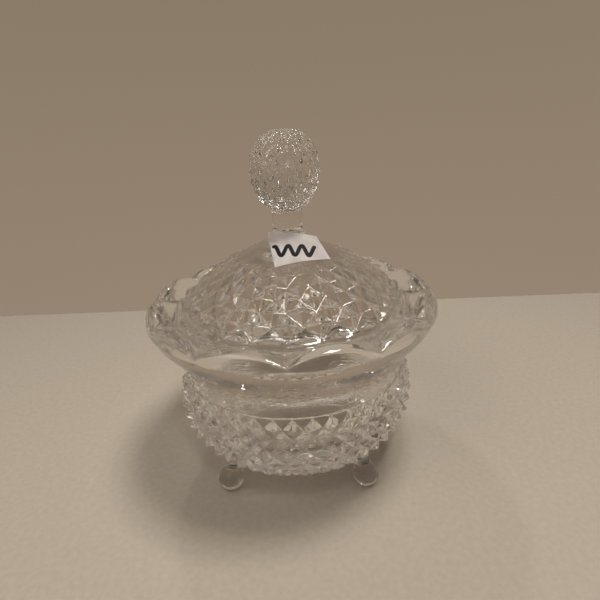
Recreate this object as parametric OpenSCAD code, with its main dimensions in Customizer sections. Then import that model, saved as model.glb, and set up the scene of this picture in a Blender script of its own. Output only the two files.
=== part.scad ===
// Footed candy dish in clear pressed glass: a diamond-cut bowl with a
// scalloped rim, a domed lid with a ball knob, and a paper lot label.
// Origin: centre of the circle under the toes.  +Z is up, -Y is the front.

/* [Bowl] */
// Widest radius of the bowl, at the ridge of the rim
rim_r = 73; // [71:0.5:74]
// Height of the ridge of the rim
rim_z = 90.4; // [90:0.1:91]
// Rise of each petal of the rim above the notches between them
petal_rise = 5.4; // [4:0.1:7]
// Petals around the rim
petals = 12; // [12]
// Radius of the smooth waist under the rim
waist_r = 57.5; // [56.5:0.1:58.5]
// Radius of the inside of the bowl just under the lid's ledge
throat_r = 50.6; // [49:0.1:51]
// Height of the inside floor
floor_z = 20.5; // [19:0.5:22]
// Diamonds around the bowl
bowl_columns = 42; // [42]
// Half rows of diamonds up the bowl
bowl_half_rows = 12; // [10:2:14]
// Height of each diamond's point above its grooves
bowl_relief = 2.6; // [1:0.1:3]

/* [Toes] */
// Radius of each ball toe
toe_r = 6.5; // [6:0.1:7]
// Distance from the axis to each toe
toe_reach = 49.3; // [48:0.1:50]
// Radius of the flat ground under each toe
toe_pad_r = 2.6; // [2:0.1:3]
// Radius of the neck between a toe's ball and the belly
toe_neck_r = 3.5; // [3:0.1:4]
// Lean of the neck towards the axis
toe_lean = 14; // [10:1:16]

/* [Lid] */
// Radius of the notches of the lid's edge
lid_r = 54.8; // [54:0.1:55]
// Swell of each small scallop between two notches
lid_scallop = 1.0; // [0.5:0.1:1.5]
// Rise of each small scallop above the notches
lid_scallop_rise = 2.8; // [1:0.1:3.2]
// Height of the grooves where the dome starts
lid_edge_z = 93; // [92.8:0.1:93.4]
// Height of the flat seat under the lid's edge
lid_seat_z = 90.6; // [90.55:0.05:90.8]
// Diamonds around the lid
lid_columns = 24; // [24]
// Half rows of diamonds up the dome
lid_half_rows = 6; // [4:2:8]
// Height of a point above its grooves, as a share of the diamond's width
lid_relief = 0.15; // [0.05:0.01:0.18]
// Radius of the stem between the dome and the knob
stem_r = 7.3; // [6.5:0.1:8]

/* [Knob] */
// Radius of the grooves at the widest part of the knob
knob_r = 15.8; // [14:0.1:16]
// Height of the widest part of the knob
knob_z = 156.5; // [155:0.5:158]
// Diamonds around the knob
knob_columns = 16; // [16:2:24]
// Half rows of diamonds up the knob
knob_half_rows = 12; // [8:2:14]
// Height of each diamond's point above its grooves
knob_relief = 1.3; // [0.5:0.1:1.5]

/* [Label] */
// Width of the label
label_w = 24; // [20:0.5:26]
// Length of the label down the slope
label_len = 19.5; // [16:0.5:20]
// Thickness of the label
label_t = 0.3; // [0.2:0.05:0.4]

/* [Hidden] */

// Two facets to a diamond, and seven to a petal of the rim
bowl_sides = 2 * bowl_columns;
// The belly's grooves lie on an ellipse turned about the axis
belly_hub_r = 20;
belly_hub_z = 41.4;
belly_a = 40;
belly_b_low = 28.5;
belly_b_high = 48;
belly_low = -63.3;
belly_high = 20.2;
// Share of the diamonds' rows that lies below the belly's widest ring
belly_split = 0.71;
// Radius and height of each ring from the belly's top to the rim's ridge
neck_rings = [
    [waist_r, 61.5],
    [waist_r + 0.8, 65.5],
    [waist_r + 2.8, 70],
    [waist_r + 6.0, 75],
    [rim_r - 5.6, 80],
    [rim_r - 2.4, 84.5],
    [rim_r - 0.5, 88.3],
    [rim_r, rim_z]
];
// Rings over the rim: radius, height, and how far each moves at a petal's middle
rim_rings = [
    [rim_r - 0.4, rim_z + 0.9, -1.2, 0.69],
    [rim_r - 1.8, rim_z + 1.5, -2.6, 0.92],
    [rim_r - 3.6, rim_z + 1.6, -2.8, 1.00],
    [rim_r - 5.8, rim_z + 1.2, -3.2, 0.90],
    [rim_r - 8.4, rim_z + 0.8, -2.4, 0.59],
    [rim_r - 12.5, rim_z + 0.6, 0, 0.17],
    [throat_r, rim_z + 0.5, 0, 0]
];
// Below 1 a petal's arch is fuller than a half wave
petal_fullness = 0.8;
// The ledge that the lid stands on, and the recess around the lid
ledge_z = 90.4;
recess_r = 57.4;

// The dome's grooves lie on an arc that flattens towards the stem
dome_arc_r = 108.9;
dome_steep = 47.5;
dome_flat = 27.5;
// Points along each scallop of the lid's edge, its notch included
edge_steps = 4;
// Half widths of the arc of grooves, below and above the knob's middle
knob_low_b = 21;
knob_high_b = 17.1;
knob_low = -64;
knob_high = 76;
stem_top_z = 139.5;

// The label leans from the foot of the stem to the dome
label_slope = 31;
label_bend_r = 60;
label_at = [0, -16.7, 121.8];

// A point on the circle of radius r, at a share of a turn from the front
function around(r, z, share) = [r * sin(360 * share), -r * cos(360 * share), z];

// Grooves of the belly: [radius, height] at a share of its height
function belly(t) = let (
        low = t < belly_split,
        a = low ? belly_low * (1 - t / belly_split)
            : belly_high * (t - belly_split) / (1 - belly_split)
    ) [belly_hub_r + belly_a * cos(a),
       belly_hub_z + (low ? belly_b_low : belly_b_high) * sin(a)];

// Grooves of the dome, from its edge to its cap
function dome(t) = let (a = dome_steep + (dome_flat - dome_steep) * t)
    [lid_r + 0.2 - dome_arc_r * (sin(dome_steep) - sin(a)),
     lid_edge_z + dome_arc_r * (cos(a) - cos(dome_steep))];

// Grooves of the knob, from its stem to its crown
function ball(t) = let (a = knob_low + (knob_high - knob_low) * t)
    [knob_r * cos(a), knob_z + (a < 0 ? knob_low_b : knob_high_b) * sin(a)];

// The outward normal of a groove curve given by its points just before and after
function outward(before, after) = let (d = after - before) [d.y, -d.x] / norm(d);

// Height of a petal at a share of a turn: 0 in the notches, 1 in the middle
function petal(share) = let (u = share * petals - floor(share * petals + 0.0001))
    pow(max(sin(180 * u), 0), petal_fullness);

// Groove points of one level of a lattice
function level_points(curve, columns, rows, k) = [
    for (j = [0:columns - 1])
        around(curve[k].x, curve[k].y, (j + (k % 2) / 2) / columns)
];

// Diamond points of one level of a lattice
function peak_points(curve, columns, rows, relief, k) =
    let (n = outward(curve[k - 1], curve[k + 1]), top = curve[k] + n * relief[k]) [
    for (j = [0:columns - 1])
        around(top.x, top.y, (j + ((k + 1) % 2) / 2) / columns)
];

// The four facets of each diamond of level k, where corner and point indices
// start at 0 and at (rows + 1) * columns
function diamond_faces(columns, rows, k) =
    let (
        at = function(level, j) level * columns + (j + columns) % columns,
        right = (k + 1) % 2
    ) [
    for (j = [0:columns - 1])
        let (
            tip = (rows + 1) * columns + (k - 1) * columns + j,
            below = at(k - 1, j),
            above = at(k + 1, j),
            left_corner = at(k, j - 1 + right),
            right_corner = at(k, j + right)
        )
        for (f = [
            [tip, above, right_corner],
            [tip, right_corner, below],
            [tip, below, left_corner],
            [tip, left_corner, above]
        ]) f
];

// Corners first, then points: all vertices of a lattice of diamonds
function lattice_points(curve, columns, rows, relief) = concat(
    [for (k = [0:rows]) each level_points(curve, columns, rows, k)],
    [for (k = [1:rows - 1]) each peak_points(curve, columns, rows, relief, k)]
);

function lattice_faces(columns, rows) = [
    for (k = [1:rows - 1]) each diamond_faces(columns, rows, k)
];

// Index of the first vertex after a lattice
function lattice_size(columns, rows) = (2 * rows) * columns;

// Half diamonds between the lowest or the highest level and a ring of edge
// points, steps to each diamond, that includes the level's own corners
function half_faces(columns, level, apex_level, edge_start, steps, upward) = [
    for (j = [0:columns - 1])
        for (i = [0:steps - 1])
            let (
                a = i == 0 ? level * columns + j : edge_start + j * (steps - 1) + i - 1,
                b = i == steps - 1 ? level * columns + (j + 1) % columns
                    : edge_start + j * (steps - 1) + i,
                apex = apex_level * columns + j
            )
            upward ? [a, apex, b] : [b, apex, a]
];

// The ring of edge indices, corners and the points between them, in order
function edge_ring(columns, level, edge_start, steps) = [
    for (j = [0:columns - 1])
        for (i = [0:steps - 1])
            i == 0 ? level * columns + j : edge_start + j * (steps - 1) + i - 1
];

// Facets between two rings of the same length, the upper one second
function band_faces(low, high) = [
    for (i = [0:len(low) - 1])
        let (n = (i + 1) % len(low))
        for (f = [[low[i], high[i], high[n]], [low[i], high[n], low[n]]]) f
];

function ring_indices(start, sides) = [for (i = [0:sides - 1]) start + i];
function reversed(list) = [for (i = [len(list) - 1:-1:0]) list[i]];

// The solid plug of the bowl, before it is hollowed
module bowl_plug() {
    curve = [for (k = [0:bowl_half_rows]) belly(k / bowl_half_rows)];
    relief = [for (k = [0:bowl_half_rows]) bowl_relief];
    first = lattice_size(bowl_columns, bowl_half_rows);
    low_mid = [for (j = [0:bowl_columns - 1])
        around(curve[0].x, curve[0].y, (j + 0.5) / bowl_columns)];
    top_mid = [for (j = [0:bowl_columns - 1])
        around(curve[bowl_half_rows].x, curve[bowl_half_rows].y, (j + 0.5) / bowl_columns)];
    neck = [for (g = neck_rings) each [for (i = [0:bowl_sides - 1])
        around(g.x, g.y, i / bowl_sides)]];
    rim = [for (g = rim_rings) each [for (i = [0:bowl_sides - 1])
        let (h = petal(i / bowl_sides))
        around(g[0] + g[2] * h, g[1] + g[3] * petal_rise * h, i / bowl_sides)]];
    rings = first + 2 * bowl_columns;
    ring_count = len(neck_rings) + len(rim_rings);
    low_edge = edge_ring(bowl_columns, 0, first, 2);
    top_edge = edge_ring(bowl_columns, bowl_half_rows, first + bowl_columns, 2);
    stack = concat([top_edge], [for (r = [0:ring_count - 1])
        ring_indices(rings + r * bowl_sides, bowl_sides)]);
    polyhedron(
        points = concat(
            lattice_points(curve, bowl_columns, bowl_half_rows, relief),
            low_mid, top_mid, neck, rim),
        faces = concat(
            lattice_faces(bowl_columns, bowl_half_rows),
            half_faces(bowl_columns, 0, 1, first, 2, true),
            half_faces(bowl_columns, bowl_half_rows, bowl_half_rows - 1,
                first + bowl_columns, 2, false),
            [for (r = [0:ring_count - 1]) each band_faces(stack[r], stack[r + 1])],
            [reversed(stack[ring_count])],
            [low_edge]),
        convexity = 6);
}

// The hollow of the bowl, the ledge for the lid and the recess around it
module bowl_hollow() {
    wall_taper = 2.4;
    corner = 24;
    corner_r = throat_r - wall_taper;
    rotate_extrude($fn = 180)
        polygon(concat(
            [[0, floor_z]],
            [for (a = [0:11.25:90])
                [corner_r - corner + corner * sin(a), floor_z + corner - corner * cos(a)]],
            [
                [throat_r, ledge_z - 1.2],
                [throat_r + 1.2, ledge_z],
                [recess_r, ledge_z],
                [recess_r, rim_z + petal_rise + 5],
                [0, rim_z + petal_rise + 5]
            ]));
}

// One ball toe and the neck that leans in from it to the belly
module toe() {
    middle_z = sqrt(toe_r * toe_r - toe_pad_r * toe_pad_r);
    pad_angle = asin(toe_pad_r / toe_r);
    rotate_extrude($fn = 48)
        polygon(concat(
            [[0, 0]],
            [for (i = [0:10]) let (a = pad_angle + (165 - pad_angle) * i / 10)
                [toe_r * sin(a), middle_z - toe_r * cos(a)]],
            [[0, middle_z + toe_r]]));
    translate([0, 0, middle_z])
        rotate([-toe_lean, 0, 0])
            cylinder(r = toe_neck_r, h = 20.5, $fn = 48);
}

module bowl() {
    color([0.93, 0.95, 0.95, 0.45])
        difference() {
            union() {
                bowl_plug();
                for (a = [45:90:315])
                    rotate([0, 0, a]) translate([0, -toe_reach, 0]) toe();
            }
            bowl_hollow();
        }
}

// The dome of the lid with its scalloped edge, solid underneath
module dome_plug() {
    curve = [for (k = [0:lid_half_rows]) dome(k / lid_half_rows)];
    relief = [for (k = [0:lid_half_rows])
        lid_relief * 2 * PI * curve[k].x / lid_columns];
    first = lattice_size(lid_columns, lid_half_rows);
    between = edge_steps - 1;
    wave = function(i) sin(180 * i / edge_steps);
    edge = [for (j = [0:lid_columns - 1]) for (i = [1:between])
        around(curve[0].x + lid_scallop * wave(i), curve[0].y + lid_scallop_rise * wave(i),
            (j + i / edge_steps) / lid_columns)];
    top_mid = [for (j = [0:lid_columns - 1])
        around(curve[lid_half_rows].x, curve[lid_half_rows].y, (j + 0.5) / lid_columns)];
    sides = lid_columns * edge_steps;
    seat = [for (i = [0:sides - 1])
        around(curve[0].x + lid_scallop * wave(i % edge_steps), lid_seat_z, i / sides)];
    low_edge = edge_ring(lid_columns, 0, first, edge_steps);
    top_edge = edge_ring(lid_columns, lid_half_rows, first + len(edge), 2);
    seat_ring = ring_indices(first + len(edge) + len(top_mid), sides);
    polyhedron(
        points = concat(
            lattice_points(curve, lid_columns, lid_half_rows, relief),
            edge, top_mid, seat),
        faces = concat(
            lattice_faces(lid_columns, lid_half_rows),
            half_faces(lid_columns, 0, 1, first, edge_steps, true),
            half_faces(lid_columns, lid_half_rows, lid_half_rows - 1,
                first + len(edge), 2, false),
            band_faces(seat_ring, low_edge),
            [reversed(top_edge)],
            [seat_ring]),
        convexity = 6);
}

// The smooth cap of the dome and the stem up into the knob
module cap_and_stem() {
    cap = dome(1);
    rotate_extrude($fn = 96)
        polygon([
            [0, cap.y - 4],
            [cap.x - 0.5, cap.y - 4],
            [cap.x - 0.5, cap.y + 0.2],
            [19.5, cap.y + 2.8],
            [14.4, cap.y + 4.9],
            [10.2, cap.y + 7.2],
            [8.2, cap.y + 9.6],
            [stem_r, cap.y + 12.5],
            [stem_r, stem_top_z],
            [0, stem_top_z]
        ]);
}

// The ball knob, cut all over in small diamonds
module knob() {
    curve = [for (k = [0:knob_half_rows]) ball(k / knob_half_rows)];
    relief = [for (k = [0:knob_half_rows])
        knob_relief * (0.35 + 0.65 * curve[k].x / knob_r)];
    first = lattice_size(knob_columns, knob_half_rows);
    low_mid = [for (j = [0:knob_columns - 1])
        around(curve[0].x, curve[0].y, (j + 0.5) / knob_columns)];
    top_mid = [for (j = [0:knob_columns - 1])
        around(curve[knob_half_rows].x, curve[knob_half_rows].y, (j + 0.5) / knob_columns)];
    polyhedron(
        points = concat(
            lattice_points(curve, knob_columns, knob_half_rows, relief),
            low_mid, top_mid),
        faces = concat(
            lattice_faces(knob_columns, knob_half_rows),
            half_faces(knob_columns, 0, 1, first, 2, true),
            half_faces(knob_columns, knob_half_rows, knob_half_rows - 1,
                first + knob_columns, 2, false),
            [reversed(edge_ring(knob_columns, knob_half_rows, first + knob_columns, 2))],
            [edge_ring(knob_columns, 0, first, 2)]),
        convexity = 4);
}

// The hollow under the dome
module lid_hollow() {
    rotate_extrude($fn = 120)
        polygon([
            [0, lid_seat_z - 5],
            [48.6, lid_seat_z - 5],
            [48.6, lid_seat_z + 0.6],
            [46.5, 95.4],
            [41.2, 100.2],
            [34.2, 104.9],
            [25.5, 109.3],
            [14.5, 112.8],
            [0, 114.2]
        ]);
}

module lid() {
    color([0.95, 0.96, 0.96, 0.45])
        difference() {
            union() {
                dome_plug();
                cap_and_stem();
                knob();
            }
            lid_hollow();
        }
}

// A paper label, put on askew and bent a little across its width
module lot_label() {
    color([0.93, 0.9, 0.88])
        translate(label_at)
            rotate([label_slope, 0, 0])
                intersection() {
                    translate([0, 0, -6])
                        linear_extrude(8)
                            polygon([
                                [-0.23 * label_w, -0.55 * label_len],
                                [0.82 * label_w, -0.23 * label_len],
                                [0.57 * label_w, 0.46 * label_len],
                                [-0.40 * label_w, 0.63 * label_len]
                            ]);
                    label_roll();
                }
}

// The thin round shell that the label is cut from
module label_roll() {
    translate([0, 0, -label_bend_r])
        rotate([90, 0, 0])
            difference() {
                cylinder(h = 60, r = label_bend_r, center = true, $fn = 120);
                cylinder(h = 62, r = label_bend_r - label_t, center = true, $fn = 120);
            }
}

bowl();
lid();
lot_label();
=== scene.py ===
"""Looks for a footed candy dish of clear pressed glass with a loose lid.

The dish is two pressings of glass: a diamond-cut bowl on four ball toes with a
rim of petals, and a domed lid with a diamond-cut ball knob.  A paper sticker
leans on the foot of the knob's stem.  Lengths in the classes are millimetres,
and become metres, the frame's own unit, when a mesh is made.
"""

import logging
import math
from collections.abc import Callable
from dataclasses import dataclass, field
from enum import Enum

import bpy
import numpy as np
from mathutils import Matrix, Vector


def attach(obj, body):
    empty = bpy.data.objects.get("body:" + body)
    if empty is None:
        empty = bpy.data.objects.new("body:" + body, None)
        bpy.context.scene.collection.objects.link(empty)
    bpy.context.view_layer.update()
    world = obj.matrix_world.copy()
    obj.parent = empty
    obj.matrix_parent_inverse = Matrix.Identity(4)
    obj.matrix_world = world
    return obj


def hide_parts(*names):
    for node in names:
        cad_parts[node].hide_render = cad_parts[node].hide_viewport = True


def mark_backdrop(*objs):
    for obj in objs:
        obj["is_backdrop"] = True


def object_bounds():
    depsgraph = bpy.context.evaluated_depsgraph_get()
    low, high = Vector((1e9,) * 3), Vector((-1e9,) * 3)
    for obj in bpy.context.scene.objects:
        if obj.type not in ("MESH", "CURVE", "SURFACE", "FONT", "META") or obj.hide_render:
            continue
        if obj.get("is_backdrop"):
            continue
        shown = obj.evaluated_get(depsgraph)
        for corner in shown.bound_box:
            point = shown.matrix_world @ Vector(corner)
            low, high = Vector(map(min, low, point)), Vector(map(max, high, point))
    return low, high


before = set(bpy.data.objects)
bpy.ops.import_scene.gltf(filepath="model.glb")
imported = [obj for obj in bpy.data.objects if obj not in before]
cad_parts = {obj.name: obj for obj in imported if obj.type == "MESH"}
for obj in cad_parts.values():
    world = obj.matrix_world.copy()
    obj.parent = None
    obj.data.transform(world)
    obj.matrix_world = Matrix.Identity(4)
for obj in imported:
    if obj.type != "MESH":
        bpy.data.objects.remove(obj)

CAD_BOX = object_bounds()
MM = 0.001
LOG = logging.getLogger("candy_dish")

Run = list[int]
Edge = tuple[int, int]
Curve = Callable[[np.ndarray], tuple[np.ndarray, np.ndarray]]
Colour = tuple[float, float, float]


class Body(Enum):
    """The bodies that the joint moves apart."""

    BOWL = "bowl"
    LID = "lid"


class Slot(Enum):
    """The record's material slots."""

    BOWL_GLASS = "bowl_glass"
    LID_GLASS = "lid_glass"
    LABEL_PAPER = "label_paper"


# ---------------------------------------------------------------- outlines


def around(radius: np.ndarray, height: np.ndarray, share: np.ndarray) -> np.ndarray:
    """Places points round the axis.

    Args:
        radius: Distances from the axis.
        height: Heights.
        share: Shares of a turn from the front towards the right.

    Returns:
        One row of x, y, z for each point.
    """
    angle = 2 * math.pi * np.asarray(share, float)
    radius = np.asarray(radius, float) + 0 * angle
    height = np.asarray(height, float) + 0 * angle
    return np.stack([radius * np.sin(angle), -radius * np.cos(angle), height], -1)


def flowing(points: np.ndarray, steps: int) -> np.ndarray:
    """Runs a Catmull-Rom curve through points.

    Args:
        points: The points to pass through, one row each.
        steps: Pieces between two neighbouring points.

    Returns:
        The curve's points, both ends included.
    """
    p = np.asarray(points, float)
    p = np.vstack([2 * p[0] - p[1], p, 2 * p[-1] - p[-2]])
    t = np.linspace(0, 1, steps, endpoint=False)[:, None]
    spans = [
        0.5 * (2 * p[i] + (p[i + 1] - p[i - 1]) * t
               + (2 * p[i - 1] - 5 * p[i] + 4 * p[i + 1] - p[i + 2]) * t ** 2
               + (3 * p[i] - p[i - 1] - 3 * p[i + 1] + p[i + 2]) * t ** 3)
        for i in range(1, len(p) - 2)
    ]
    return np.vstack([*spans, p[-2:-1]])


def filleted(corners: list[tuple[float, float, float]], steps: int = 6) -> np.ndarray:
    """Rounds the corners of a line in the plane of the profile.

    Args:
        corners: Radius, height and rounding of each corner in turn.
        steps: Pieces in each rounded corner.

    Returns:
        The rounded line's points as radius and height.
    """
    line = [np.array(corners[0][:2], float)]
    for before, here, after in zip(corners, corners[1:], corners[2:]):
        corner = np.array(here[:2], float)
        back = np.array(before[:2], float) - corner
        ahead = np.array(after[:2], float) - corner
        back_unit = back / np.linalg.norm(back)
        ahead_unit = ahead / np.linalg.norm(ahead)
        half = 0.5 * math.acos(float(np.clip(back_unit @ ahead_unit, -1, 1)))
        reach = min(here[2] / max(math.tan(half), 1e-6),
                    0.49 * np.linalg.norm(back), 0.49 * np.linalg.norm(ahead))
        start, end = corner + back_unit * reach, corner + ahead_unit * reach
        for t in np.linspace(0, 1, steps + 1):
            line.append((1 - t) ** 2 * start + 2 * t * (1 - t) * corner + t ** 2 * end)
    line.append(np.array(corners[-1][:2], float))
    return np.array(line)


def spaced(line: np.ndarray, gap: float) -> np.ndarray:
    """Adds points to a line's long straight pieces.

    Args:
        line: Radius and height of each point.
        gap: The longest piece to leave whole.

    Returns:
        The line with every piece at most gap long.
    """
    made = [line[:1]]
    for a, b in zip(line, line[1:]):
        count = max(1, math.ceil(np.linalg.norm(b - a) / gap))
        made.append(a + (b - a) * (np.arange(1, count + 1) / count)[:, None])
    return np.vstack(made)


# ------------------------------------------------------------------ skins


class Skin:
    """The vertices, faces and normals of one piece of glass."""

    def __init__(self) -> None:
        """Starts with no vertices."""
        self.points: list[np.ndarray] = []
        self.faces: list[tuple[int, ...]] = []
        self.flat: dict[int, np.ndarray] = {}
        self.soft: list[int] = []

    def add(self, point: np.ndarray, normal: np.ndarray | None = None) -> int:
        """Adds a vertex.

        Args:
            point: Its place.
            normal: The normal of the flat facet that owns it, if one does.

        Returns:
            The vertex's index.
        """
        self.points.append(np.asarray(point, float))
        if normal is not None:
            self.flat[len(self.points) - 1] = normal
        return len(self.points) - 1

    def ring(self, radius: np.ndarray, height: np.ndarray, count: int) -> Run:
        """Adds a ring of vertices round the axis.

        Args:
            radius: One radius, or one for each vertex.
            height: One height, or one for each vertex.
            count: How many vertices the ring has.

        Returns:
            The vertices' indices, from the front round to the right.
        """
        return [self.add(p) for p in around(radius, height, np.arange(count) / count)]

    def band(self, low: Run, high: Run) -> None:
        """Joins two rings of the same length with soft quads.

        Args:
            low: The ring to start from.
            high: The next ring along the outline.
        """
        count = len(low)
        for i in range(count):
            n = (i + 1) % count
            self.soft.append(len(self.faces))
            self.faces.append((low[i], low[n], high[n], high[i]))

    def stack(self, rings: list[Run]) -> None:
        """Joins rings in turn."""
        for low, high in zip(rings, rings[1:]):
            self.band(low, high)

    def close(self, ring: Run, height: float, upward: bool) -> None:
        """Closes a ring with a disc of triangles about the axis.

        Args:
            ring: The ring to close.
            height: The height of the disc's middle.
            upward: True if the disc faces up.
        """
        middle = self.add(np.array([0.0, 0.0, height]))
        for a, b in zip(ring, ring[1:] + ring[:1]):
            self.soft.append(len(self.faces))
            self.faces.append((a, b, middle) if upward else (b, a, middle))

    def lay_facets(self, control: np.ndarray, triangles: list[tuple[int, int, int]],
                   on_ring: dict[int, int], runs: dict[Edge, Run], width: float) -> None:
        """Lays flat facets with small rounded edges between them.

        Each triangle is drawn in from its edges, and strips and small caps fill
        the gaps, so that the normals turn from one facet to the next only there.

        Args:
            control: The sharp vertices.
            triangles: Facets as indices into control, counter-clockwise outside.
            on_ring: Skin vertices that stand for control vertices on a ring.
            runs: Skin vertices between the ends of each facet edge on a ring.
            width: How far each edge is drawn in.
        """
        inset: dict[tuple[int, int], int] = {}
        owner: dict[Edge, int] = {}
        for t, tri in enumerate(triangles):
            corners = control[list(tri)]
            sides = np.roll(corners, -1, 0) - corners
            lengths = np.linalg.norm(sides, axis=1)
            cross = np.cross(sides[0], -sides[2])
            area = 0.5 * np.linalg.norm(cross)
            reach = min(width, 0.3 * 2 * area / lengths.sum())
            normal = cross / np.linalg.norm(cross)
            for n, v in enumerate(tri):
                ahead, back = sides[n] / lengths[n], -sides[n - 1] / lengths[n - 1]
                sine = np.linalg.norm(np.cross(ahead, back))
                inset[t, v] = self.add(corners[n] + (ahead + back) * reach / sine, normal)
                owner[v, tri[(n + 1) % 3]] = t
            self.faces.append(tuple(inset[t, v] for v in tri))
        follows: dict[tuple[int, int], int] = {}
        led: set[tuple[int, int]] = set()
        for (a, b), t in owner.items():
            other = owner.get((b, a))
            if other is None:
                self.faces.append((inset[t, b], inset[t, a], on_ring[a], *runs[a, b], on_ring[b]))
                continue
            follows[a, other] = t
            led.add((a, t))
            if a < b:
                self.faces.append((inset[t, b], inset[t, a], inset[other, a], inset[other, b]))
        self._cap_corners(inset, follows, led, on_ring)

    def _cap_corners(self, inset: dict[tuple[int, int], int], follows: dict[tuple[int, int], int],
                     led: set[tuple[int, int]], on_ring: dict[int, int]) -> None:
        """Fills the gap at each sharp vertex between its facets' drawn-in corners.

        Args:
            inset: The drawn-in vertex of each facet and control vertex.
            follows: The facet that comes next round a control vertex.
            led: Facets that follow another one, with their control vertex.
            on_ring: Skin vertices of the control vertices on a ring.
        """
        around_vertex: dict[int, Run] = {}
        for t, v in inset:
            around_vertex.setdefault(v, []).append(t)
        for v, facets in around_vertex.items():
            start = next((t for t in facets if (v, t) not in led), facets[0])
            chain, t = [start], follows.get((v, start))
            while t is not None and t != start:
                chain.append(t)
                t = follows.get((v, t))
            rim = [inset[t, v] for t in chain]
            if v in on_ring:
                rim.append(on_ring[v])
            if len(rim) <= 5:
                self.faces.append(tuple(rim))
                continue
            own = [i for i in rim if i in self.flat]
            normal = sum(self.flat[i] for i in own)
            middle = self.add(sum(self.points[i] for i in rim) / len(rim),
                              normal / np.linalg.norm(normal))
            for a, b in zip(rim, rim[1:] + rim[:1]):
                self.faces.append((a, b, middle))

    def normals(self) -> np.ndarray:
        """Works out one normal for each vertex.

        Returns:
            Flat facets' own normals, and elsewhere the mean of the soft faces.
        """
        points = np.array(self.points)
        made = np.zeros_like(points)
        for f in self.soft:
            face = self.faces[f]
            corners = points[list(face)]
            cross = np.cross(corners[2] - corners[0], corners[-1] - corners[1])
            for v in face:
                made[v] += cross
        for v, normal in self.flat.items():
            made[v] = normal
        return made / np.maximum(np.linalg.norm(made, axis=1), 1e-12)[:, None]

    def to_object(self, name: str, material: bpy.types.Material) -> bpy.types.Object:
        """Makes the Blender object.

        Args:
            name: The piece's name.
            material: Its finish.

        Returns:
            A smooth-shaded mesh object in metres, linked to the scene.
        """
        mesh = bpy.data.meshes.new(name)
        mesh.from_pydata([tuple(p * MM) for p in self.points], [], self.faces)
        mesh.polygons.foreach_set("use_smooth", [True] * len(mesh.polygons))
        mesh.materials.append(material)
        mesh.normals_split_custom_set_from_vertices(self.normals())
        piece = bpy.data.objects.new(name, mesh)
        bpy.context.scene.collection.objects.link(piece)
        return piece


@dataclass(frozen=True)
class DiamondBand:
    """A band of pointed diamonds round the axis.

    The grooves cross at corners on level 0 to rows.  Corners of odd levels sit
    half a diamond further round, and each diamond's point is over the middle
    between four corners.
    """

    columns: int
    rows: int
    groove: Callable[[float], tuple[float, float]]
    relief: Callable[[float], float]
    chamfer: float
    steps: int

    def lay(self, skin: Skin, low_edge: Curve | None = None) -> tuple[Run, Run]:
        """Lays the band on a skin.

        Args:
            skin: The skin that gets the facets.
            low_edge: Radius and height of the lower ring at shares of a turn, if
                it isn't a plain circle.

        Returns:
            The vertices of the lower and the upper ring.
        """
        count = 2 * self.columns * self.steps
        shares = np.arange(count) / count
        line = np.array([self.groove(k / self.rows) for k in range(self.rows + 1)])
        low = skin.ring(*(low_edge(shares) if low_edge else line[0]), count)
        high = skin.ring(*line[-1], count)
        control: list[np.ndarray] = []
        corner = [self._level(control, *line[k], k % 2) for k in range(self.rows + 1)]
        middle_low = self._level(control, *line[0], 1)
        middle_high = self._level(control, *line[-1], 1)
        triangles: list[tuple[int, int, int]] = []
        for k in range(1, self.rows):
            along = line[k + 1] - line[k - 1]
            out = np.array([along[1], -along[0]]) / np.linalg.norm(along)
            tips = self._level(control, *(line[k] + out * self.relief(line[k][0])), k + 1)
            shift = (k + 1) % 2
            for j, tip in enumerate(tips):
                left = corner[k][(j - 1 + shift) % self.columns]
                right = corner[k][(j + shift) % self.columns]
                below, above = corner[k - 1][j], corner[k + 1][j]
                triangles += [(tip, below, right), (tip, right, above),
                              (tip, above, left), (tip, left, below)]
        on_ring: dict[int, int] = {}
        runs: dict[Edge, Run] = {}
        for j in range(self.columns):
            n = (j + 1) % self.columns
            first = 2 * j * self.steps
            half, last = first + self.steps, first + 2 * self.steps
            a, m, b, apex = corner[0][j], middle_low[j], corner[0][n], corner[1][j]
            triangles += [(a, m, apex), (m, b, apex)]
            on_ring[a], on_ring[m] = low[first], low[half]
            runs[a, m], runs[m, b] = low[first + 1:half], low[half + 1:last]
            a, m, b, apex = corner[-1][j], middle_high[j], corner[-1][n], corner[-2][j]
            triangles += [(a, apex, m), (apex, b, m)]
            on_ring[a], on_ring[m] = high[first], high[half]
            runs[m, a], runs[b, m] = high[first + 1:half][::-1], high[half + 1:last][::-1]
        places = np.array(control)
        for v, i in on_ring.items():
            places[v] = skin.points[i]
        skin.lay_facets(places, triangles, on_ring, runs, self.chamfer)
        return low, high

    def _level(self, control: list[np.ndarray], radius: float, height: float, shift: int) -> Run:
        """Adds one ring of sharp vertices.

        Args:
            control: The list that they join.
            radius: Their distance from the axis.
            height: Their height.
            shift: Odd if they sit half a diamond further round.

        Returns:
            Their indices.
        """
        start = len(control)
        shares = (np.arange(self.columns) + (shift % 2) / 2) / self.columns
        control.extend(around(radius, height, shares))
        return list(range(start, len(control)))


# --------------------------------------------------------------- finishes


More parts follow.
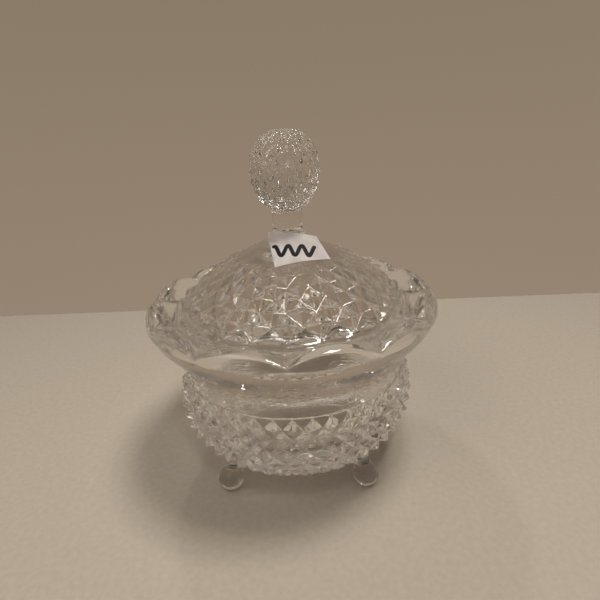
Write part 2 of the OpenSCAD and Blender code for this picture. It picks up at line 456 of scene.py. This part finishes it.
class NodeBoard:
    """A material's node tree with short ways to add and join nodes."""

    def __init__(self, name: str) -> None:
        """Makes an empty material.

        Args:
            name: The material's name.
        """
        self.material = bpy.data.materials.new(name)
        self.material.use_nodes = True
        self.tree = self.material.node_tree
        self.tree.nodes.clear()
        self.output = self.tree.nodes.new("ShaderNodeOutputMaterial")
        self.shader = self.node("ShaderNodeBsdfPrincipled")
        self.join(self.shader, "BSDF", self.output, "Surface")

    def node(self, kind: str, **values: object) -> bpy.types.Node:
        """Adds a node.

        Args:
            kind: Its Blender type.
            **values: Properties, or inputs by name with spaces as underscores.

        Returns:
            The node.
        """
        made = self.tree.nodes.new(kind)
        for key, value in values.items():
            title = key.replace("_", " ")
            if title in made.inputs:
                made.inputs[title].default_value = value
            else:
                setattr(made, key, value)
        return made

    def join(self, source: bpy.types.Node, out: str, target: bpy.types.Node, into: str) -> None:
        """Links one node's output to another's input."""
        self.tree.links.new(source.outputs[out], target.inputs[into])

    def noise(self, scale: float, detail: float) -> bpy.types.Node:
        """Adds noise over the piece's own space.

        Args:
            scale: Grains to a metre.
            detail: How many finer grains lie over the first.

        Returns:
            The noise.
        """
        made = self.node("ShaderNodeTexNoise", Scale=scale, Detail=detail)
        self.join(self.node("ShaderNodeTexCoord"), "Object", made, "Vector")
        return made

    def emboss(self, source: bpy.types.Node, strength: float, depth: float) -> None:
        """Lets a noise shape the shader's surface.

        Args:
            source: The noise.
            strength: How much of it shows.
            depth: The height of its tops, in metres.
        """
        bump = self.node("ShaderNodeBump", Strength=strength, Distance=depth)
        self.join(source, "Fac", bump, "Height")
        self.join(bump, "Normal", self.shader, "Normal")

    def shade(self, source: bpy.types.Node, low: Colour, high: Colour,
              span: tuple[float, float] = (0.0, 1.0)) -> None:
        """Lets a noise choose the shader's colour.

        Args:
            source: The noise.
            low: The colour where it is low.
            high: The colour where it is high.
            span: The noise's values for the two.
        """
        ramp = self.node("ShaderNodeValToRGB")
        for stop, place, colour in zip(ramp.color_ramp.elements, span, (low, high)):
            stop.position = place
            stop.color = (*colour, 1)
        self.join(source, "Fac", ramp, "Fac")
        self.join(ramp, "Color", self.shader, "Base Color")


@dataclass(frozen=True)
class PressedGlass:
    """Clear fire-polished glass with the faint waves that a mould leaves."""

    name: str
    tint: Colour = (0.975, 0.962, 0.947)
    ior: float = 1.51
    wave_size: float = 0.007
    wave_depth: float = 0.00010
    smear_size: float = 0.018
    clean: float = 0.0
    smeared: float = 0.035
    smear_span: tuple[float, float] = (0.45, 0.75)

    def build(self) -> bpy.types.Material:
        """Makes the material.

        Returns:
            A clear glass, smoother where it is clean and softer where it is smeared.
        """
        board = NodeBoard(self.name)
        glass = board.shader
        glass.inputs["Base Color"].default_value = (*self.tint, 1)
        glass.inputs["Transmission Weight"].default_value = 1.0
        glass.inputs["IOR"].default_value = self.ior
        board.emboss(board.noise(1 / self.wave_size, 1.5), 1.0, self.wave_depth)
        smears = board.noise(1 / self.smear_size, 4.0)
        spread = board.node("ShaderNodeMapRange", From_Min=self.smear_span[0],
                            From_Max=self.smear_span[1], To_Min=self.clean, To_Max=self.smeared)
        board.join(smears, "Fac", spread, "Value")
        board.join(spread, "Result", glass, "Roughness")
        return board.material


@dataclass(frozen=True)
class StickerPaper:
    """Matt white sticker paper with visible fibre and soft handling marks."""

    name: str
    light: Colour = (0.74, 0.69, 0.66)
    worn: Colour = (0.64, 0.58, 0.555)
    fibre_size: float = 0.0004
    fibre_depth: float = 0.00005
    mark_size: float = 0.008
    mark_span: tuple[float, float] = (0.42, 0.60)

    def build(self) -> bpy.types.Material:
        """Makes the material.

        Returns:
            A rough paper that is a little darker where it was handled.
        """
        board = NodeBoard(self.name)
        board.shader.inputs["Roughness"].default_value = 0.85
        board.shade(board.noise(1 / self.mark_size, 3.0), self.worn, self.light, self.mark_span)
        board.emboss(board.noise(1 / self.fibre_size, 4.0), 0.5, self.fibre_depth)
        return board.material


@dataclass(frozen=True)
class MarkerInk:
    """Black felt marker, a little thin where the pen moved fast."""

    name: str
    dark: Colour = (0.004, 0.004, 0.005)
    thin: Colour = (0.018, 0.015, 0.017)
    streak_scale: float = 1500.0

    def build(self) -> bpy.types.Material:
        """Makes the material.

        Returns:
            A near-black ink with a faint streak.
        """
        board = NodeBoard(self.name)
        board.shader.inputs["Roughness"].default_value = 0.55
        board.shader.inputs["Specular IOR Level"].default_value = 0.2
        board.shade(board.noise(self.streak_scale, 2.0), self.dark, self.thin)
        return board.material


@dataclass(frozen=True)
class TableTop:
    """A plain pale matt floor."""

    name: str
    colour: Colour = (0.60, 0.525, 0.425)
    mottle: tuple[float, float] = (0.94, 1.04)
    mottle_scale: float = 350.0
    mottle_span: tuple[float, float] = (0.3, 0.7)

    def build(self) -> bpy.types.Material:
        """Makes the material.

        Returns:
            A matt floor with a barely visible mottle.
        """
        board = NodeBoard(self.name)
        board.shader.inputs["Roughness"].default_value = 0.9
        low, high = (tuple(f * c for c in self.colour) for f in self.mottle)
        board.shade(board.noise(self.mottle_scale, 5.0), low, high, self.mottle_span)
        return board.material


# ------------------------------------------------------------------- bowl


@dataclass(frozen=True)
class Toe:
    """A ball toe with the neck that leans in from it to the belly."""

    ball_r: float = 6.5
    ball_arc: float = 143.0
    reach: float = 49.3
    pad_r: float = 2.6
    neck_r: float = 3.5
    neck_z: float = 12.9
    lean: float = 14.0
    root_z: float = 23.5
    sides: int = 48

    def middle_z(self) -> float:
        """Gives the height of the ball's middle over its ground pad."""
        return math.sqrt(self.ball_r ** 2 - self.pad_r ** 2)

    def outline(self) -> np.ndarray:
        """Draws the toe's profile as if its neck stood upright.

        Returns:
            Radius and height from the ground pad up to the neck's root.
        """
        start = math.asin(self.pad_r / self.ball_r)
        angles = np.linspace(start, math.radians(self.ball_arc), 22)
        ball = np.stack([self.ball_r * np.sin(angles),
                         self.middle_z() - self.ball_r * np.cos(angles)], 1)
        neck = flowing(np.array([ball[-1], (self.neck_r, self.neck_z), (self.neck_r, 18.0),
                                 (self.neck_r, self.root_z)]), 6)
        return np.vstack([ball, neck[1:]])

    def skin(self, share: float) -> Skin:
        """Makes one toe.

        Args:
            share: Its share of a turn from the front.

        Returns:
            The toe's closed skin, in place.
        """
        made = Skin()
        line = self.outline()
        rings = [made.ring(r, z, self.sides) for r, z in line]
        made.stack(rings)
        made.close(rings[0], float(line[0][1]), False)
        made.close(rings[-1], float(line[-1][1]), True)
        slope, middle = math.tan(math.radians(self.lean)), self.middle_z()
        made.points = [
            p + around(self.reach - slope * max(0.0, p[2] - middle), 0.0, share)
            for p in made.points
        ]
        return made


@dataclass(frozen=True)
class Bowl:
    """The bowl: a cut belly, a smooth waist, a rim of petals and four toes."""

    rim_r: float = CAD_BOX[1].x / MM
    rim_z: float = 90.4
    petals: int = 12
    petal_rise: float = 5.4
    petal_fullness: float = 0.8
    waist_r: float = 57.5
    throat_r: float = 50.6
    ledge_z: float = 90.4
    recess_r: float = 57.4
    floor_z: float = 20.5
    floor_corner: float = 24.0
    wall_taper: float = 2.4
    columns: int = 42
    rows: int = 12
    relief: float = 2.6
    chamfer: float = 0.25
    steps: int = 4
    base_rise: float = 0.4
    base_middle: float = 0.35
    toe_count: int = 4
    toe: Toe = field(default_factory=Toe)

    def groove(self, t: float) -> tuple[float, float]:
        """Gives the belly's grooves.

        Args:
            t: Share of the belly's height.

        Returns:
            Radius and height on an ellipse turned about the axis.
        """
        hub_r, hub_z, wide, deep, tall, split = 20.0, 41.4, 40.0, 28.5, 48.0, 0.71
        if t < split:
            angle = math.radians(-63.3) * (1 - t / split)
            return hub_r + wide * math.cos(angle), hub_z + deep * math.sin(angle)
        angle = math.radians(20.2) * (t - split) / (1 - split)
        return hub_r + wide * math.cos(angle), hub_z + tall * math.sin(angle)

    def petal(self, share: np.ndarray) -> np.ndarray:
        """Gives the petals' height, 0 in the notches and 1 in the middle."""
        return np.abs(np.sin(math.pi * self.petals * share)) ** self.petal_fullness

    def rim_line(self) -> tuple[np.ndarray, np.ndarray]:
        """Draws the outline from the belly up over the rim.

        Returns:
            Radius and height in a notch, and how far each point moves at the
            middle of a petal.
        """
        rim, rise = self.rim_r, self.petal_rise
        rows = np.array([
            (self.waist_r - 0.55, 58.2, 0, 0),
            (self.waist_r - 0.35, 59.3, 0, 0),
            (self.waist_r, 61.8, 0, 0),
            (self.waist_r + 0.8, 65.5, 0, 0),
            (self.waist_r + 2.8, 70.0, 0, 0),
            (self.waist_r + 6.0, 75.0, 0, 0),
            (rim - 5.6, 80.0, 0, 0),
            (rim - 2.4, 84.5, 0, 0),
            (rim - 0.5, 88.3, 0, 0),
            (rim, self.rim_z, 0, 0),
            (rim - 0.4, self.rim_z + 0.9, -1.2, 0.69 * rise),
            (rim - 1.8, self.rim_z + 1.5, -2.6, 0.92 * rise),
            (rim - 3.6, self.rim_z + 1.6, -2.8, 1.00 * rise),
            (rim - 5.8, self.rim_z + 1.2, -3.2, 0.90 * rise),
            (rim - 8.4, self.rim_z + 0.8, -2.4, 0.59 * rise),
            (rim - 12.5, self.rim_z + 0.6, 0, 0.17 * rise),
        ])
        line = flowing(rows, 6)
        return line[:, :2], line[:, 2:]

    def hollow_line(self) -> np.ndarray:
        """Draws the inside from the recess round the lid down to the floor.

        Returns:
            Radius and height of each point.
        """
        corner_r = self.throat_r - self.wall_taper
        flat_r = corner_r - self.floor_corner
        angles = np.radians(np.linspace(90, 0, 25))
        corner = np.stack([flat_r + self.floor_corner * np.sin(angles),
                           self.floor_z + self.floor_corner * (1 - np.cos(angles))], 1)
        top = filleted([
            (self.recess_r + 1.6, self.ledge_z + 0.6, 0),
            (self.recess_r, self.ledge_z + 0.6, 0.5),
            (self.recess_r, self.ledge_z, 0.4),
            (self.throat_r + 0.8, self.ledge_z, 0.6),
            (self.throat_r, self.ledge_z - 0.9, 0.8),
            (corner[0][0], corner[0][1], 0),
        ])
        return spaced(np.vstack([top, corner[1:], [[6.0, self.floor_z]]]), 3.0)

    def skin(self) -> Skin:
        """Makes the bowl without its toes.

        Returns:
            The bowl's closed skin.
        """
        made = Skin()
        belly = DiamondBand(self.columns, self.rows, self.groove, lambda r: self.relief,
                            self.chamfer, self.steps)
        low, high = belly.lay(made)
        count = len(high)
        height = self.petal(np.arange(count) / count)
        line, lift = self.rim_line()
        rings = [high] + [
            made.ring(r + dr * height, z + dz * height, count)
            for (r, z), (dr, dz) in zip(line, lift)
        ]
        inside = self.hollow_line()
        rings += [made.ring(r, z, count) for r, z in inside]
        made.stack(rings)
        made.close(rings[-1], self.floor_z, True)
        base_r, base_z = self.groove(0.0)
        base = [
            made.ring(base_r * f, base_z + self.base_rise * (1 - f), count)
            for f in (0.2, 0.5, 0.85, 0.97)
        ]
        made.stack([*base, low])
        made.close(base[0], base_z + self.base_middle, False)
        return made

    def build(self, material: bpy.types.Material) -> bpy.types.Object:
        """Makes the bowl with its toes and puts it on its body.

        Args:
            material: The glass.

        Returns:
            The piece.
        """
        piece = self.skin().to_object("bowl_pressing", material)
        for i in range(self.toe_count):
            toe = self.toe.skin((i + 0.5) / self.toe_count).to_object(f"toe_{i + 1}", material)
            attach(toe, Body.BOWL.value)
        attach(piece, Body.BOWL.value)
        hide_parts("bowl")
        return piece


# -------------------------------------------------------------------- lid


@dataclass(frozen=True)
class Lid:
    """The lid: a cut dome with a scalloped edge, a stem and a cut ball knob."""

    edge_r: float = 54.8
    edge_z: float = 93.0
    seat_z: float = 90.6
    scallop: float = 1.0
    scallop_rise: float = 2.8
    columns: int = 24
    rows: int = 6
    relief_share: float = 0.15
    chamfer: float = 0.65
    arc_r: float = 108.9
    steep: float = 47.5
    shallow: float = 27.5
    stem_r: float = 7.3
    knob_r: float = 15.8
    knob_z: float = 156.5
    knob_deep: float = 21.0
    knob_tall: float = 17.1
    knob_low: float = -64.0
    knob_high: float = 76.0
    knob_columns: int = 16
    knob_rows: int = 12
    knob_relief: float = 1.3
    knob_chamfer: float = 0.30
    hollow_top_z: float = 114.2
    steps: int = 4

    def dome(self, t: float) -> tuple[float, float]:
        """Gives the dome's grooves.

        Args:
            t: Share of the way from the dome's edge to its cap.

        Returns:
            Radius and height.
        """
        steep = math.radians(self.steep)
        angle = math.radians(self.steep + (self.shallow - self.steep) * t)
        return (self.edge_r + 0.2 - self.arc_r * (math.sin(steep) - math.sin(angle)),
                self.edge_z + self.arc_r * (math.cos(angle) - math.cos(steep)))

    def ball(self, t: float) -> tuple[float, float]:
        """Gives the knob's grooves.

        Args:
            t: Share of the way from the stem to the knob's crown.

        Returns:
            Radius and height.
        """
        angle = math.radians(self.knob_low + (self.knob_high - self.knob_low) * t)
        tall = self.knob_deep if angle < 0 else self.knob_tall
        return self.knob_r * math.cos(angle), self.knob_z + tall * math.sin(angle)

    def edge(self, share: np.ndarray) -> tuple[np.ndarray, np.ndarray]:
        """Gives the scalloped edge.

        Args:
            share: Shares of a turn from the front.

        Returns:
            Radius and height at each share.
        """
        wave = np.abs(np.sin(math.pi * self.columns * share))
        radius, height = self.dome(0.0)
        return radius + self.scallop * wave, height + self.scallop_rise * wave

    def skin(self) -> Skin:
        """Makes the whole lid.

        Returns:
            The lid's closed skin.
        """
        made = Skin()
        dome = DiamondBand(self.columns, self.rows, self.dome,
                           lambda r: self.relief_share * 2 * math.pi * r / self.columns,
                           self.chamfer, self.steps)
        knob = DiamondBand(self.knob_columns, self.knob_rows, self.ball,
                           lambda r: self.knob_relief * (0.35 + 0.65 * r / self.knob_r),
                           self.knob_chamfer, self.columns * self.steps // self.knob_columns)
        low, high = dome.lay(made, self.edge)
        knob_low, knob_high = knob.lay(made)
        count = len(low)
        made.stack([high, *self._stem_rings(made, count), knob_low])
        crown_r, crown_z = self.ball(1.0)
        crown = [made.ring(crown_r * f, crown_z, count) for f in (0.8, 0.4)]
        made.stack([knob_high, *crown])
        made.close(crown[-1], crown_z, True)
        radius, height = self.edge(np.arange(count) / count)
        rim = []
        for f, drop in ((0.35, 0.06), (0.5, 0.35), (0.5, 0.8)):
            rim.append(made.ring(radius + f, height + (self.seat_z + 0.3 - height) * drop, count))
        under = filleted([(55.0, self.seat_z, 0), (48.6, self.seat_z, 0.5), (48.4, 92.6, 0.8),
                          (46.5, 95.4, 3), (41.2, 100.2, 10), (34.2, 104.9, 14), (25.5, 109.3, 16),
                          (14.5, 112.8, 16), (4.0, 114.0, 0)])
        under_rings = [made.ring(r, z, count) for r, z in spaced(under, 2.5)]
        seat = made.ring(radius + 0.1, self.seat_z, count)
        made.stack([*reversed(under_rings), seat, *reversed(rim), low])
        made.close(under_rings[-1], self.hollow_top_z, False)
        return made

    def _stem_rings(self, made: Skin, count: int) -> list[Run]:
        """Adds the smooth cap and stem.

        Args:
            made: The lid's skin.
            count: Vertices in each ring.

        Returns:
            The rings from just over the dome's diamonds up to just under the knob.
        """
        cap_r, cap_z = self.dome(1.0)
        line = flowing(np.array([
            (cap_r, cap_z),
            (cap_r - 0.7, cap_z + 0.35),
            (19.5, cap_z + 2.8),
            (14.4, cap_z + 4.9),
            (10.4, cap_z + 7.2),
            (8.3, cap_z + 9.6),
            (self.stem_r + 0.1, cap_z + 12.5),
            (self.stem_r, cap_z + 16.5),
            (self.stem_r + 0.1, cap_z + 19.8),
            (self.stem_r + 0.5, cap_z + 21.0),
            self.ball(0.0),
        ]), 6)
        return [made.ring(r, z, count) for r, z in line[1:-1]]

    def build(self, material: bpy.types.Material) -> bpy.types.Object:
        """Makes the lid and puts it on its body.

        Args:
            material: The glass.

        Returns:
            The piece.
        """
        piece = self.skin().to_object("lid_pressing", material)
        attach(piece, Body.LID.value)
        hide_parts("lid")
        return piece


# ------------------------------------------------------------------ label


@dataclass(frozen=True)
class Label:
    """A paper sticker that leans from the foot of the stem to the dome."""

    width: float = 24.0
    length: float = 19.5
    thick: float = 0.2
    slope: float = 31.0
    bend_r: float = 60.0
    place: tuple[float, float, float] = (0.0, -16.7, 121.8)
    corners: tuple[tuple[float, float], ...] = (
        (-0.23, -0.55), (0.82, -0.23), (0.57, 0.46), (-0.40, 0.63))
    cells: int = 28
    ripple_height: float = 0.10
    stroke_w: float = 1.9
    ink_thick: float = 0.05

    def spot(self, u: np.ndarray, v: np.ndarray, lift: float = 0.0) -> np.ndarray:
        """Finds points on the sticker.

        Args:
            u: Distance to the right of its middle.
            v: Distance up the slope from its middle.
            lift: Distance off its outer face.

        Returns:
            One row of x, y, z for each point.
        """
        u, v = np.broadcast_arrays(np.asarray(u, float), np.asarray(v, float))
        ripple = self.ripple_height * np.sin(0.9 * v + 0.35 * u) * np.clip(np.abs(u) / 10, 0, 1)
        bulge = -u * u / (2 * self.bend_r) + ripple + lift
        c, s = math.cos(math.radians(self.slope)), math.sin(math.radians(self.slope))
        x, y, z = self.place
        return np.stack([x + u, y + v * c - bulge * s, z + v * s + bulge * c], -1)

    def sheet(self) -> Skin:
        """Makes the paper.

        Returns:
            A closed sheet with a front, a back and cut edges.
        """
        n = self.cells
        corners = np.array(self.corners) * (self.width, self.length)
        made = Skin()
        grid: list[list[Run]] = []
        for lift in (0.0, -self.thick):
            layer = []
            for j in range(n + 1):
                left = corners[0] + (corners[3] - corners[0]) * j / n
                right = corners[1] + (corners[2] - corners[1]) * j / n
                t = (np.arange(n + 1) / n)[:, None]
                line = left + (right - left) * t
                layer.append([made.add(p) for p in self.spot(line[:, 0], line[:, 1], lift)])
            grid.append(layer)
        front, back = grid
        for j in range(n):
            for i in range(n):
                made.faces.append((front[j][i], front[j][i + 1],
                                   front[j + 1][i + 1], front[j + 1][i]))
                made.faces.append((back[j][i], back[j + 1][i], back[j + 1][i + 1], back[j][i + 1]))
        loops = []
        for layer in grid:
            loops.append(layer[0][:-1] + [row[-1] for row in layer[:-1]] + layer[-1][:0:-1]
                         + [row[0] for row in layer[:0:-1]])
        for i in range(len(loops[0])):
            a, b = i, (i + 1) % len(loops[0])
            made.faces.append((loops[1][a], loops[1][b], loops[0][b], loops[0][a]))
        return made

    def stroke(self, points: list[tuple[float, float]]) -> Skin:
        """Makes one pen stroke.

        Args:
            points: Places on the sticker that the pen passes through.

        Returns:
            A thin ribbon with round ends, just proud of the paper.
        """
        line = flowing(np.array(points), 10)
        along = np.gradient(line, axis=0)
        along /= np.linalg.norm(along, axis=1)[:, None]
        side = np.stack([-along[:, 1], along[:, 0]], 1)
        half = 0.5 * self.stroke_w
        turn = np.linspace(-math.pi / 2, math.pi / 2, 9)[1:-1]
        end = [line[-1] + half * (along[-1] * math.cos(a) + side[-1] * math.sin(a)) for a in turn]
        start = [line[0] - half * (along[0] * math.cos(a) + side[0] * math.sin(a)) for a in turn]
        outline = np.array([*(line - side * half), *end, *(line + side * half)[::-1], *start])
        made = Skin()
        top = [made.add(p) for p in self.spot(outline[:, 0], outline[:, 1], self.ink_thick)]
        foot = [made.add(p) for p in self.spot(outline[:, 0], outline[:, 1], -self.ink_thick)]
        count = len(line)
        caps = len(end)
        right, left = list(range(count)), list(range(2 * count + caps - 1, count + caps - 1, -1))
        for ring, flip in ((top, False), (foot, True)):
            for i in range(count - 1):
                quad = (ring[right[i]], ring[right[i + 1]], ring[left[i + 1]], ring[left[i]])
                made.faces.append(quad[::-1] if flip else quad)
            for cap in (ring[count - 1:count + caps + 1], [*ring[2 * count + caps - 1:], ring[0]]):
                made.faces.append(tuple(cap[::-1]) if flip else tuple(cap))
        for a, b in zip(range(len(top)), [*range(1, len(top)), 0]):
            made.faces.append((foot[a], foot[b], top[b], top[a]))
        return made

    def scribble(self) -> list[list[tuple[float, float]]]:
        """Lays out the pen strokes: one loose wave that spells nothing."""
        wave = [(-6.2 + 0.62 * i, -0.9 + 3.1 * math.sin(0.62 * i + 1.2)) for i in range(31)]
        return [wave]

    def build(self, paper: bpy.types.Material, ink: bpy.types.Material) -> bpy.types.Object:
        """Makes the sticker with its strokes.

        Args:
            paper: The sticker's finish.
            ink: The strokes' finish.

        Returns:
            The sticker.
        """
        piece = plain_object(self.sheet(), "sticker", paper)
        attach(piece, Body.LID.value)
        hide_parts("lot_label")
        for i, points in enumerate(self.scribble()):
            stroke = plain_object(self.stroke(points), f"pen_stroke_{i + 1}", ink)
            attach(stroke, Body.LID.value)
        return piece


def plain_object(skin: Skin, name: str, material: bpy.types.Material) -> bpy.types.Object:
    """Makes an object whose normals Blender works out.

    Args:
        skin: Its vertices and faces.
        name: Its name.
        material: Its finish.

    Returns:
        The object, with edges sharper than 40 degrees left sharp.
    """
    mesh = bpy.data.meshes.new(name)
    mesh.from_pydata([tuple(p * MM) for p in skin.points], [], skin.faces)
    mesh.polygons.foreach_set("use_smooth", [True] * len(mesh.polygons))
    mesh.set_sharp_from_angle(angle=math.radians(40))
    mesh.materials.append(material)
    piece = bpy.data.objects.new(name, mesh)
    bpy.context.scene.collection.objects.link(piece)
    return piece


# ----------------------------------------------------------------- studio


@dataclass(frozen=True)
class Lamp:
    """A soft square lamp that faces the dish, with its lengths in metres."""

    name: str
    place: tuple[float, float, float]
    size: float
    watts: float
    colour: Colour
    aim_z: float = 0.07

    def hang(self) -> None:
        """Puts the lamp in the scene."""
        data = bpy.data.lights.new(self.name, "AREA")
        data.size, data.energy, data.color = self.size, self.watts, self.colour
        lamp = bpy.data.objects.new(self.name, data)
        lamp.location = self.place
        aim = Vector((0, 0, self.aim_z)) - lamp.location
        lamp.rotation_euler = aim.to_track_quat("-Z", "Y").to_euler()
        bpy.context.scene.collection.objects.link(lamp)


@dataclass(frozen=True)
class Studio:
    """The floor, the soft light and the camera."""

    floor_back: float = 210.0
    floor_reach: float = 900.0
    wall_foot: Colour = (0.310, 0.236, 0.174)
    wall: Colour = (0.257, 0.197, 0.140)
    ceiling: Colour = (0.170, 0.142, 0.116)
    wall_levels: tuple[float, float, float] = (0.32, 0.61, 0.76)
    room_dim: float = 0.38
    room_span: tuple[float, float] = (-0.5, 0.7)
    lens: float = 26.0
    camera_turn: float = 1.4
    camera_side: float = 4.3
    camera_back: float = 210.0
    camera_z: float = 174.0
    pitch: float = 21.9
    roll: float = 2.8
    light_paths: int = 40
    mirror_paths: int = 32
    lamps: tuple[Lamp, ...] = (
        Lamp("key_lamp", (0.24, -0.08, 1.05), 0.26, 5.1, (1.0, 0.96, 0.91)),
        Lamp("fill_lamp", (-0.50, -0.45, 0.80), 0.60, 1.8, (1.0, 0.95, 0.88)),
        Lamp("glint_lamp", (0.10, -0.55, 0.95), 0.04, 0.80, (0.95, 0.97, 1.0)),
        Lamp("back_glint_lamp", (-0.20, 0.40, 0.85), 0.04, 0.60, (0.95, 0.97, 1.0)),
    )

    def floor(self, material: bpy.types.Material) -> bpy.types.Object:
        """Lays the floor, which ends in a straight back edge behind the dish.

        Args:
            material: The floor's finish.

        Returns:
            The floor.
        """
        back, reach = self.floor_back * MM, self.floor_reach * MM
        mesh = bpy.data.meshes.new("table_top")
        corners = [(-reach, -reach, 0), (reach, -reach, 0), (reach, back, 0), (-reach, back, 0)]
        mesh.from_pydata(corners, [], [(0, 1, 2, 3)])
        mesh.materials.append(material)
        top = bpy.data.objects.new("table_top", mesh)
        bpy.context.scene.collection.objects.link(top)
        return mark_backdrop(top) or top

    def sky(self) -> None:
        """Surrounds the scene with a warm wall, a dim ceiling and a room that darkens in front."""
        world = bpy.data.worlds.new("room")
        bpy.context.scene.world = world
        world.use_nodes = True
        tree = world.node_tree
        tree.nodes.clear()
        place = tree.nodes.new("ShaderNodeTexCoord")
        split = tree.nodes.new("ShaderNodeSeparateXYZ")
        height = tree.nodes.new("ShaderNodeMapRange")
        height.inputs["From Min"].default_value = -1.0
        ramp = tree.nodes.new("ShaderNodeValToRGB")
        stops = ramp.color_ramp.elements
        foot_at, wall_at, ceiling_at = self.wall_levels
        stops[0].position, stops[0].color = foot_at, (*self.wall_foot, 1)
        stops[1].position, stops[1].color = ceiling_at, (*self.ceiling, 1)
        stops.new(wall_at).color = (*self.wall, 1)
        room = tree.nodes.new("ShaderNodeMapRange")
        room.interpolation_type = "SMOOTHSTEP"
        room.inputs["From Min"].default_value = self.room_span[0]
        room.inputs["From Max"].default_value = self.room_span[1]
        room.inputs["To Min"].default_value = self.room_dim
        back = tree.nodes.new("ShaderNodeBackground")
        out = tree.nodes.new("ShaderNodeOutputWorld")
        for source, target in (
            (place.outputs["Generated"], split.inputs[0]),
            (split.outputs["Z"], height.inputs["Value"]),
            (height.outputs["Result"], ramp.inputs["Fac"]),
            (ramp.outputs["Color"], back.inputs["Color"]),
            (split.outputs["Y"], room.inputs["Value"]),
            (room.outputs["Result"], back.inputs["Strength"]),
            (back.outputs[0], out.inputs[0]),
        ):
            tree.links.new(source, target)

    def camera(self) -> bpy.types.Object:
        """Sets up the camera.

        Returns:
            The camera, which looks down at the dish with a slight roll.
        """
        turn, pitch, roll = (math.radians(a) for a in (self.camera_turn, self.pitch, self.roll))
        ahead = Vector((0, math.cos(pitch), -math.sin(pitch)))
        right = Vector((1, 0, 0))
        up = right.cross(ahead)
        rolled_up = up * math.cos(roll) + right * math.sin(roll)
        rolled_right = right * math.cos(roll) - up * math.sin(roll)
        axes = Matrix((rolled_right, rolled_up, -ahead)).transposed().to_4x4()
        place = Matrix.Translation(
            Vector((self.camera_side, -self.camera_back, self.camera_z)) * MM)
        data = bpy.data.cameras.new("camera")
        data.lens = self.lens
        data.sensor_width = 36.0
        data.clip_start = 0.01
        camera = bpy.data.objects.new("camera", data)
        camera.matrix_world = Matrix.Rotation(turn, 4, "Z") @ place @ axes
        bpy.context.scene.collection.objects.link(camera)
        bpy.context.scene.camera = camera
        return camera

    def build(self, material: bpy.types.Material) -> None:
        """Builds the floor, the light and the camera.

        Args:
            material: The floor's finish.
        """
        self.floor(material)
        self.sky()
        for lamp in self.lamps:
            lamp.hang()
        self.camera()
        scene = bpy.context.scene
        scene.view_settings.view_transform = "Standard"
        scene.cycles.max_bounces = self.light_paths
        scene.cycles.glossy_bounces = self.mirror_paths
        scene.cycles.transmission_bounces = self.light_paths


def main() -> None:
    """Builds the dish and its studio, and reports each piece."""
    logging.basicConfig(level=logging.INFO, format="%(name)s: %(message)s")
    bowl = Bowl().build(PressedGlass("bowl_glass").build())
    lid = Lid().build(PressedGlass("lid_glass").build())
    label = Label().build(StickerPaper("sticker_paper").build(), MarkerInk("marker_ink").build())
    for piece in (bowl, lid, label):
        LOG.info("%s: %d vertices, %d faces", piece.name, len(piece.data.vertices),
                 len(piece.data.polygons))
    Studio().build(TableTop("table_top").build())


if __name__ == "__main__":
    main()
